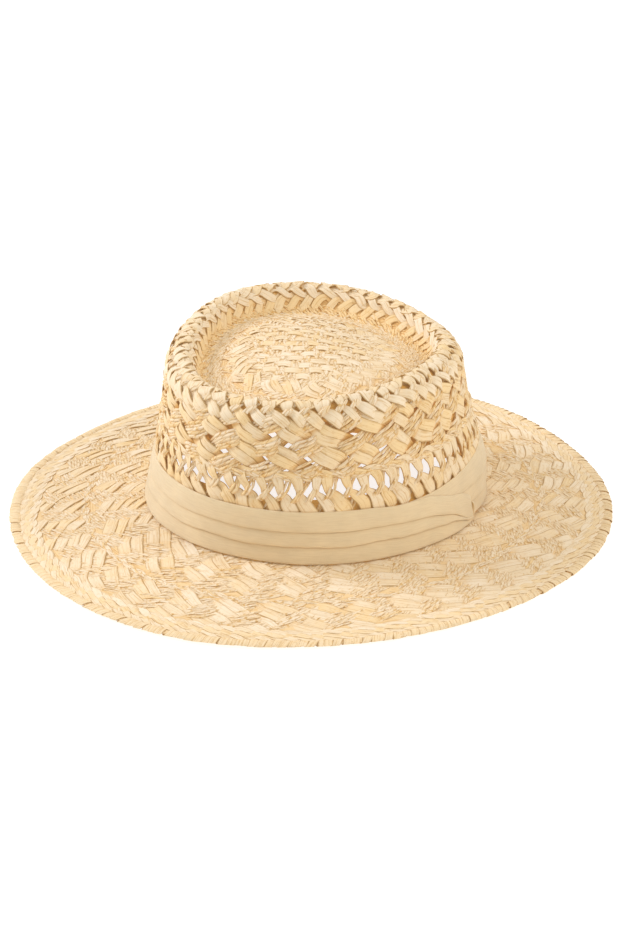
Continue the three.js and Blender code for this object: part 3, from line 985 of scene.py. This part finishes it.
# The broad diagonal work of the brim, in both of its rings.
BRIM_NET = {"step": 7.3, "lift": 0.2, "base": -0.95, "swing": 0.15, "squeeze": 0.06, "wander": 1.0}
BRIM_FINE_COURSES = ((69.5, 118), (72.7, 134), (75.8, 150))    # distance down and leaves
BRIM_RINGS_MEET = 42.0         # distance from the crown where the second ring takes over


class HAT_OT_brim(bpy.types.Operator):
    """Weave the brim in rings of broad diagonal work and small twisted courses"""

    bl_idname = "hat.brim"
    bl_label = "Brim"

    def execute(self, context):
        sizes = context.scene.hat_sizes
        flats = Strands(2, 6.9, sizes.brim_ribbon / MM, 0.4)
        cords = Strands(8, 1.65, sizes.brim_cord / MM, 0.95)
        inner = Weave(BRIM, 11)
        net(inner, sizes.inner_crossings, first=3.5, reach=(-0.6, 4.8), flats=flats,
            cords=cords, **BRIM_NET)
        course(inner, at=39.5, half=1.3, leaves=96, strands=Strands(2, 1.3, 1.5, 1.0),
               lift=0.25, base=-0.8, samples=5)
        inner.shell(0.5, BRIM_RINGS_MEET, lift=-0.85, thick=0.4, depth=-0.7)
        inner.shell(0.3, 2.6, lift=0.0, thick=0.8, rows=3, depth=-1.5)
        weave_piece(inner, "brim_inner_weave", "brim")
        outer = Weave(BRIM, 12)
        net(outer, sizes.outer_crossings, first=42.5, reach=(-0.3, 3.7), flats=flats,
            cords=cords, samples=7, **BRIM_NET)
        for at, leaves in BRIM_FINE_COURSES:
            course(outer, at, half=1.3, leaves=leaves, strands=Strands(1, 0, 4.2, 0.45),
                   lift=0.16, base=-0.75, narrow=0.8, samples=5)
        outer.shell(BRIM_RINGS_MEET - 2, BRIM_WIDTH - 3, lift=-0.85, thick=0.4, depth=-0.7)
        weave_piece(outer, "brim_outer_weave", "brim")
        return {"FINISHED"}


class HAT_OT_brim_edge(bpy.types.Operator):
    """Wind the binding round the edge of the brim"""

    bl_idname = "hat.brim_edge"
    bl_label = "Brim edge"

    def execute(self, context):
        sizes = context.scene.hat_sizes
        edge = Weave(BRIM, 13, tone=-0.3)
        whip(edge, BRIM_WIDTH - 3.9, half_width=2.9, half_height=0.7, middle=-0.62,
             loops=sizes.edge_turns, width=sizes.edge_ribbon / MM, thick=0.22)
        edge.shell(BRIM_WIDTH - 5.6, BRIM_WIDTH - 2.2, lift=-0.4, thick=0.4, rows=4, depth=-0.6)
        weave_piece(edge, "brim_edge_binding", "brim_edge")
        return {"FINISHED"}


# Strands laid by tables: distance down, millimetres to the right, width, height.
OPENWORK_FLAT = (
    (42.5, -3.2, 4.6, -1.7),
    (46.0, -2.2, 6.2, -0.7),
    (49.0, -1.0, 6.4, 0.2),
    (53.0, 0.3, 5.0, 0.2),
    (56.5, 1.4, 3.9, -0.6),
    (59.3, 3.8, 6.2, -0.4),
    (62.5, 6.2, 7.8, 0.4),
    (66.0, 8.4, 8.2, 0.2),
    (70.0, 10.6, 7.0, -1.0),
)
OPENWORK_CORD = (
    (43.5, 5.6, 1.8, -1.7),
    (48.0, 3.6, 1.8, -1.5),
    (52.0, 2.4, 1.8, -0.7),
    (55.6, 1.0, 1.9, 0.7),
    (59.5, -1.6, 1.9, 0.6),
    (62.8, -4.2, 1.8, -0.9),
    (68.5, -7.6, 1.8, -1.6),
)
RIM_FLAT = (
    (-0.6, -2.4, 6.4, -1.5),
    (2.2, -1.6, 8.2, -0.1),
    (4.8, -0.8, 7.8, 0.3),
    (7.2, 0.2, 5.6, -0.3),
    (9.0, 1.8, 5.2, -0.7),
    (11.2, 4.4, 6.4, 0.5),
    (13.6, 7.4, 6.4, 0.6),
    (16.6, 10.6, 5.0, -0.9),
)
RIM_CORD = (
    (0.5, 3.4, 1.7, -1.7),
    (4.0, 2.2, 1.7, -1.0),
    (6.8, 0.8, 2.0, 0.7),
    (9.0, -1.6, 2.0, 0.6),
    (11.5, -3.4, 1.7, -0.9),
    (15.0, -5.0, 1.7, -1.6),
)


class HAT_OT_crown_side(bpy.types.Operator):
    """Weave the side of the crown: broad diagonal work above openwork"""

    bl_idname = "hat.crown_side"
    bl_label = "Crown side"

    def execute(self, context):
        sizes = context.scene.hat_sizes
        upper = Weave(CROWN, 21, tone=-0.25)
        net(upper, sizes.wall_crossings, first=20.6, step=7.3, reach=(-1.25, 3.3),
            flats=Strands(2, 5.6, sizes.wall_ribbon / MM, 0.5),
            cords=Strands(5, 2.0, sizes.wall_cord / MM, 1.8),
            lift=1.0, base=-0.9, flats_over=0, wander=0.9, squeeze=0.17)
        weave_piece(upper, "crown_side_diagonals", "crown_side")
        lower = Weave(CROWN, 22, tone=-0.2)
        posts = sizes.openwork_posts
        laid(lower, posts, OPENWORK_FLAT, thick=0.5, wander=0.75)
        laid(lower, posts, OPENWORK_CORD, thick=1.5, kind=ROUND, number=2, spacing=1.9,
             wander=0.75)
        course(lower, at=46.6, half=1.5, leaves=50, strands=Strands(2, 1.5, 1.7, 1.4),
               lift=0.8, base=-0.6, wander=0.6)
        course(lower, at=45.2, half=1.3, leaves=58, strands=Strands(1, 0, 3.4, 0.7),
               lift=0.5, base=-0.9, narrow=0.6, wander=0.6)
        lower.shell(60.5, 72, lift=-1.4, thick=0.3, rows=5, depth=-3.0)
        lower.shell(CROWN_FOOT - 9, CROWN_FOOT, lift=-1.5, thick=0.3, rows=4, depth=-2.0)
        net(lower, 24, first=74.0, step=8.3, reach=(-0.2, 2.7), flats=Strands(2, 5.9, 6.6, 0.5),
            cords=Strands(5, 2.1, 2.3, 1.6), lift=0.45, base=-1.5, samples=6)
        weave_piece(lower, "crown_side_openwork", "crown_side")
        return {"FINISHED"}


class HAT_OT_crown_rim(bpy.types.Operator):
    """Plait the rim over the crest of the crown"""

    bl_idname = "hat.crown_rim"
    bl_label = "Crown rim"

    def execute(self, context):
        rim = Weave(CROWN, 31)
        leaves = context.scene.hat_sizes.rim_leaves
        laid(rim, leaves, RIM_FLAT, thick=0.6, wander=0.65)
        laid(rim, leaves, RIM_CORD, thick=1.4, kind=ROUND, number=2, spacing=1.8, wander=0.65)
        course(rim, at=0.6, half=2.7, leaves=leaves, strands=Strands(1, 0, 5.6, 0.8),
               twist=-1, lift=0.75, base=-1.2, narrow=0.8)
        course(rim, at=-5.0, half=2.5, leaves=52, strands=Strands(1, 0, 4.9, 0.8),
               lift=0.7, base=-1.4, narrow=0.75)
        rim.shell(-8.0, 13.0, lift=-1.3, thick=0.3, rows=10, depth=-3.0)
        weave_piece(rim, "crown_rim_plait", "crown_rim")
        return {"FINISHED"}


DOME_FINE_COURSES = (64.5, 61.0, 57.5)     # distances down from the dome's middle


class HAT_OT_crown_top(bpy.types.Operator):
    """Weave the wall of the groove and the sunken dome inside it"""

    bl_idname = "hat.crown_top"
    bl_label = "Crown top"

    def execute(self, context):
        well = Weave(CROWN, 41, tone=-0.4)
        course(well, at=-10.8, half=3.2, leaves=60, strands=Strands(1, 0, 5.2, 0.6),
               twist=-1, lift=0.5, base=-1.3, narrow=0.75)
        course(well, at=-15.8, half=2.4, leaves=62, strands=Strands(3, 1.5, 1.7, 1.3),
               lift=0.5, base=-1.2, samples=6)
        well.shell(-19, -5, lift=-1.3, thick=0.25, rows=6)
        weave_piece(well, "crown_well_weave", "crown_well")
        tip = Weave(CROWN, 42)
        for at in DOME_FINE_COURSES:
            course(tip, DOME_MIDDLE + at, half=1.6, leaves=72, strands=Strands(2, 1.4, 1.6, 0.9),
                   lift=0.18, base=-0.95, samples=5)
        matting(tip, reach=41.0, pitch=6.4, heading=math.radians(12),
                flats=Strands(1, 0, 6.1, 0.4), cords=Strands(3, 1.85, 2.0, 1.0),
                lift=0.22, base=-0.95, wander=1.2)
        net(tip, 23, first=DOME_MIDDLE + 38.5, step=6.4, reach=(-0.5, 2.7),
            flats=Strands(2, 4.9, 5.6, 0.4), cords=Strands(5, 1.8, 1.95, 1.0),
            lift=0.2, base=-0.9, swing=0.15, squeeze=0.1, wander=1.0)
        tip.shell(DOME_MIDDLE + 0.4, DOME_MIDDLE + 66, lift=-1.0, thick=0.4, rows=30, depth=-0.7)
        weave_piece(tip, "crown_tip_weave", "crown_tip")
        return {"FINISHED"}


# The band's cloth, cut across: pleats passed (0 the top edge, 1 and 2 the creases,
# 3 the bottom edge) and height off the crown.
CLOTH_SECTION = (
    (0.25, 0.65), (0.05, 0.65), (0.0, 0.95), (0.04, 1.3),
    (0.3, 1.75), (0.7, 2.05), (0.96, 2.1), (1.0, 1.8), (0.95, 1.5),
    (0.78, 1.35), (0.7, 1.15), (0.78, 0.95),
    (1.15, 1.2), (1.4, 1.7), (1.75, 1.95), (1.96, 1.95), (2.0, 1.65), (1.95, 1.35),
    (1.78, 1.2), (1.7, 1.0), (1.78, 0.8),
    (2.15, 1.1), (2.45, 1.6), (2.75, 1.8), (2.97, 1.75), (3.0, 1.45), (2.95, 1.1), (2.8, 0.95),
)
# Turns of the hat and, there, heights above the crown's foot of the strip's top edge,
# its two creases and its bottom edge. It goes once round, and then its outer end lies
# over its inner one and draws together at the tuck.
CLOTH_EDGES = (
    (0.165, 26.6, 17.0, 9.3, 0.0),
    (0.20, 27.3, 17.6, 9.5, 0.0),
    (0.225, 28.4, 18.0, 9.7, 0.6),
    (0.26, 30.4, 18.6, 9.7, 1.8),
    (0.30, 33.0, 19.4, 9.9, 1.5),
    (0.34, 35.0, 20.4, 10.2, 0.8),
    (0.40, 34.4, 20.2, 10.2, 0.0),
    (0.48, 31.4, 19.0, 9.9, 0.0),
    (0.58, 29.4, 18.4, 9.7, 0.0),
    (1.08, 29.4, 18.4, 9.7, 0.0),
    (1.12, 28.6, 18.0, 9.7, 0.0),
    (1.145, 26.9, 17.6, 9.6, 0.0),
    (1.17, 26.4, 16.8, 9.3, 0.0),
    (1.19, 26.0, 15.4, 8.6, 0.0),
    (1.205, 23.6, 13.2, 7.5, 0.0),
    (1.220, 20.8, 10.6, 6.6, 0.2),
    (1.2405, 18.2, 3.9, 2.9, 0.2),
    (1.250, 15.6, 2.9, 2.3, 0.8),
    (1.257, 13.0, 2.5, 2.0, 1.5),
)
# The tuck, from its foot up: height, turn of its crisp edge, width round the hat, lift.
TUCK_SHAPE = (
    (0.6, 0.2550, 1.2, 2.4),
    (1.8, 0.2542, 2.6, 3.4),
    (3.4, 0.2546, 3.8, 3.6),
    (5.0, 0.2562, 4.6, 3.6),
    (6.8, 0.2576, 4.6, 3.4),
    (8.4, 0.2578, 3.4, 3.0),
    (9.8, 0.2570, 1.4, 2.3),
)
# Its section: across in shares of its width, and up.
TUCK_SECTION = (
    (0.06, -1.3), (0.0, -0.5), (0.02, -0.1), (0.14, 0.0), (0.34, -0.18), (0.6, -0.6),
    (0.85, -1.0), (1.0, -1.5), (0.7, -1.7), (0.3, -1.7),
)
CLOTH_COLUMNS = 360
# Turns of the hat where something sets in, and over how many it grows.
INNER_END_RISES = (0.20, 0.16)     # the strip comes out from under its outer end
FULLNESS_FROM = (0.235, 0.05)
OUTER_END_RISES = (1.14, 0.09)     # the strip climbs over its inner end
# The painted shade in the creases grows darker from here, near the tuck.
CREASE_SHADE_DEEPENS = (1.18, 0.05)
END_FOLDS = (1.249, 0.008)         # the very end is folded in
FLAT_LIFT = 0.75               # how far the strip's back lies off the crown
FULLNESS = (1.6, 0.305, 0.06)  # where the cloth puffs out: how far, at which turn, how wide
OVERLAP_LIFT = 1.9
INNER_END_SHARE = 0.2          # how much of its fullness the strip's inner end keeps
END_FOLD_LIFT, END_FOLD_SHARE = 1.2, 0.3
RIPPLES = ((0.10, 0.11), (0.06, 0.047), (0.04, 0.023))     # size, and length in turns
RIPPLE_PHASE, RIPPLE_SHIFT = 2.1, 60   # radians by pleat, and by the ripple's size
RIPPLE_DROP = 1.5              # how much more the cloth ripples up and down than outwards
CREASE_AT, CREASE_WIDTH = (0.86, 1.86), 0.24   # pleats passed at either crease, and how far its painted shade reaches
CREASE_DEPTH = 1.6             # height off the crown below which the cloth is in a crease, where shade is painted


def cloth_heights(turn, pleat):
    """How high above the crown's foot the strip's section lies at each turn."""
    turns, *edges = np.array(CLOTH_EDGES).T
    edges = np.array([np.interp(turn, turns, edge) for edge in edges])
    return np.array([np.interp(pleat, range(len(column)), column) for column in edges.T])


def cloth_lift(turn, pleat, out):
    """How far off the crown the strip's section lies at each turn."""
    under = grown(turn, *INNER_END_RISES)
    under = under * under * (3 - 2 * under)
    lift = FLAT_LIFT + (out - FLAT_LIFT) * (INNER_END_SHARE + (1 - INNER_END_SHARE) * under)
    most, at, spread = FULLNESS
    puffed = most * np.exp(-(((turn - at) / spread) ** 2)) * grown(turn, *FULLNESS_FROM)
    lift = lift + puffed * np.clip(0.1 + pleat, 0, 1) * np.clip(1.25 - pleat / 4, 0.5, 1)
    over = grown(turn, *OUTER_END_RISES)
    lift = lift + OVERLAP_LIFT * over * (0.5 + 0.5 * np.clip(pleat / 1.2, 0, 1))
    folded = grown(turn, *END_FOLDS) ** 2
    return lift * (1 - folded) + (END_FOLD_LIFT + END_FOLD_SHARE * out) * folded


def cloth_crease_shade(turn, pleat, out):
    """How much painted shade the cloth gets where it lies in a crease."""
    valley = np.minimum(*(np.abs(pleat - at) for at in CREASE_AT))
    # How dark the painted crease shade is: darker near the tuck.
    drawn = 0.5 + 0.9 * grown(turn, *CREASE_SHADE_DEEPENS)
    return np.clip(1.25 - valley / CREASE_WIDTH, 0, 1) * (out < CREASE_DEPTH) * drawn


def cloth_strip(cloth, thick):
    """The pleated strip, once round the crown and over its own beginning."""
    band = Weave(CROWN, 51)
    turn = np.linspace(CLOTH_EDGES[0][0], CLOTH_EDGES[-1][0], CLOTH_COLUMNS)
    pleat, out = eased(CLOTH_SECTION, 2).T
    height = cloth_heights(turn, pleat)
    turn = turn[:, None]
    lift = cloth_lift(turn, pleat, out)
    for size, length in RIPPLES:
        ripple = wave_noise(band.rng, 1, turn.T / length, (1.0,))[0][:, None]
        lift = lift + size * ripple * np.cos(pleat * RIPPLE_PHASE + size * RIPPLE_SHIFT)
        drop = RIPPLE_DROP * size * ripple
        height = height + drop * np.clip(pleat, 0, 3) * np.clip(3 - pleat, 0, 1)
    shapes = np.stack([height, lift], -1)
    ahead = unit(np.gradient(shapes, axis=1))
    across = np.stack([ahead[..., 1], -ahead[..., 0]], -1) * thick / 2
    loop = np.concatenate([shapes + across, (shapes - across)[:, ::-1]], 1)
    sides = loop.shape[1]
    around = np.repeat(turn, sides, 1)
    points, _ = CROWN.place(around, CROWN_FOOT - loop[..., 0], loop[..., 1])
    lengths = np.linalg.norm(np.diff(shapes, axis=1, prepend=shapes[:, :1]), axis=-1).cumsum(1)
    lengths = np.concatenate([lengths, lengths[:, ::-1]], 1)
    # Painted shade in the creases, on the cloth's outer face only.
    tone = cloth_crease_shade(turn, pleat, out)
    tone = np.concatenate([tone, 0 * tone], 1)
    band.tube(points, around * CROWN.girth(CROWN_FOOT), lengths, tone)
    return band.make("hat_band_cloth", [cloth])


def cloth_tuck(cloth):
    """The short upright fold in which the strip's outer end is caught."""
    tuck = Weave(CROWN, 52)
    height, edge, width, lift = eased(TUCK_SHAPE, 5).T[..., None]
    across, up = eased([*TUCK_SECTION, TUCK_SECTION[0]], 3)[:-1].T
    turn = edge + across * width / CROWN.girth(CROWN_FOOT)
    height = height + 0 * turn
    points, _ = CROWN.place(turn, CROWN_FOOT - height, lift + up * (0.4 + width / 5))
    tuck.tube(points, height, across * width)
    return tuck.make("band_tuck_fold", [cloth])


class HAT_OT_band(bpy.types.Operator):
    """Fold the cloth band round the foot of the crown, with its ends drawn into a tuck"""

    bl_idname = "hat.band"
    bl_label = "Band"

    def execute(self, context):
        scene = context.scene
        cloth = bpy.data.materials.get("band_cloth_weave") or cloth_material(
            "band_cloth_weave", scene.hat_colours.cloth)
        piece = cloth_strip(cloth, scene.hat_sizes.cloth / MM)
        finish_piece(piece, "band_cloth", "hat_band")
        tuck = cloth_tuck(cloth)
        finish_piece(tuck, "band_cloth", "band_tuck")
        return {"FINISHED"}


VIEW_TURN = 20.83              # degrees the camera stands round towards the wearer's left
VIEW_RISE = 24.155             # degrees above level
VIEW_DISTANCE = 1909.0
# What it aims at: right of, above and behind the hat's middle, as the camera sees it.
VIEW_AIM = (-0.7, 22.3, 0.0)
VIEW_ROLL = 0.549
VIEW_LENS = 131.4
WORLD_LIGHT = 0.56
FLOOR_SIZE, FLOOR_HEIGHT = 30, -0.0004     # metres; just below the lowest strand
# Lights: name, place in metres, size in metres, watts, colour.
LAMPS = (
    ("key_light", (-1.7, -0.3, 1.3), 0.8, 24.0, (0.97, 0.99, 1.08)),
    ("fill_light", (1.6, 0.0, 1.3), 0.9, 11.0, (1.04, 0.98, 0.9)),
    ("top_light", (-0.2, 0.5, 2.0), 1.0, 5.0, (1.0, 1.0, 1.0)),
)


class HAT_OT_stage(bpy.types.Operator):
    """Set the pale floor, the soft lights and the camera"""

    bl_idname = "hat.stage"
    bl_label = "Stage"

    def execute(self, context):
        bpy.ops.object.select_all(action="DESELECT")
        bpy.ops.mesh.primitive_plane_add(size=FLOOR_SIZE, location=(0, 0, FLOOR_HEIGHT))
        floor = context.object
        floor.name = "floor"
        floor.data.materials.append(floor_material("glowing_floor"))
        world = context.scene.world or bpy.data.worlds.new("studio")
        context.scene.world = world
        world.use_nodes = True
        background = world.node_tree.nodes["Background"]
        background.inputs["Color"].default_value = (1, 1, 1, 1)
        background.inputs["Strength"].default_value = WORLD_LIGHT
        for name, place, size, power, colour in LAMPS:
            bpy.ops.object.light_add(type="AREA", location=place)
            lamp = context.object
            lamp.name = name
            lamp.data.size = size
            lamp.data.energy = power
            lamp.data.color = colour
            lamp.rotation_euler = (-Vector(place)).to_track_quat("-Z", "Y").to_euler()
        turn, rise = math.radians(VIEW_TURN), math.radians(VIEW_RISE)
        level = math.cos(rise)
        back = Vector((math.sin(turn) * level, -math.cos(turn) * level, math.sin(rise)))
        facing = back.to_track_quat("Z", "Y")
        aim = facing @ (Vector(VIEW_AIM) * MM)
        bpy.ops.object.camera_add(location=back * VIEW_DISTANCE * MM)
        camera = context.object
        camera.name = "camera"
        camera.rotation_euler = (camera.location - aim).to_track_quat("Z", "Y").to_euler()
        camera.rotation_euler.rotate_axis("Z", math.radians(VIEW_ROLL))
        camera.data.lens = VIEW_LENS
        context.scene.camera = camera
        context.scene.view_settings.view_transform = "Standard"
        return {"FINISHED"}


class HAT_PT_panel(bpy.types.Panel):
    """Lists the hat's pieces, sizes and colours"""

    bl_label = "Straw hat"
    bl_idname = "HAT_PT_panel"
    bl_space_type = "VIEW_3D"
    bl_region_type = "UI"
    bl_category = "Straw hat"

    def draw(self, context):
        for step in STEPS:
            self.layout.operator(step.bl_idname)
        for settings in (context.scene.hat_sizes, context.scene.hat_colours):
            for name in type(settings).__annotations__:
                self.layout.prop(settings, name)


STEPS = (HAT_OT_brim, HAT_OT_brim_edge, HAT_OT_crown_side, HAT_OT_crown_rim,
         HAT_OT_crown_top, HAT_OT_band, HAT_OT_stage)
CLASSES = (HatSizes, HatColours, *STEPS, HAT_PT_panel)


def register():
    for cls in CLASSES:
        bpy.utils.register_class(cls)
    bpy.types.Scene.hat_sizes = PointerProperty(type=HatSizes)
    bpy.types.Scene.hat_colours = PointerProperty(type=HatColours)


def unregister():
    del bpy.types.Scene.hat_colours
    del bpy.types.Scene.hat_sizes
    for cls in reversed(CLASSES):
        bpy.utils.unregister_class(cls)


def main():
    register()
    bpy.ops.hat.brim()
    bpy.ops.hat.brim_edge()
    bpy.ops.hat.crown_side()
    bpy.ops.hat.crown_rim()
    bpy.ops.hat.crown_top()
    bpy.ops.hat.band()
    bpy.ops.hat.stage()


if __name__ == "__main__":
    main()
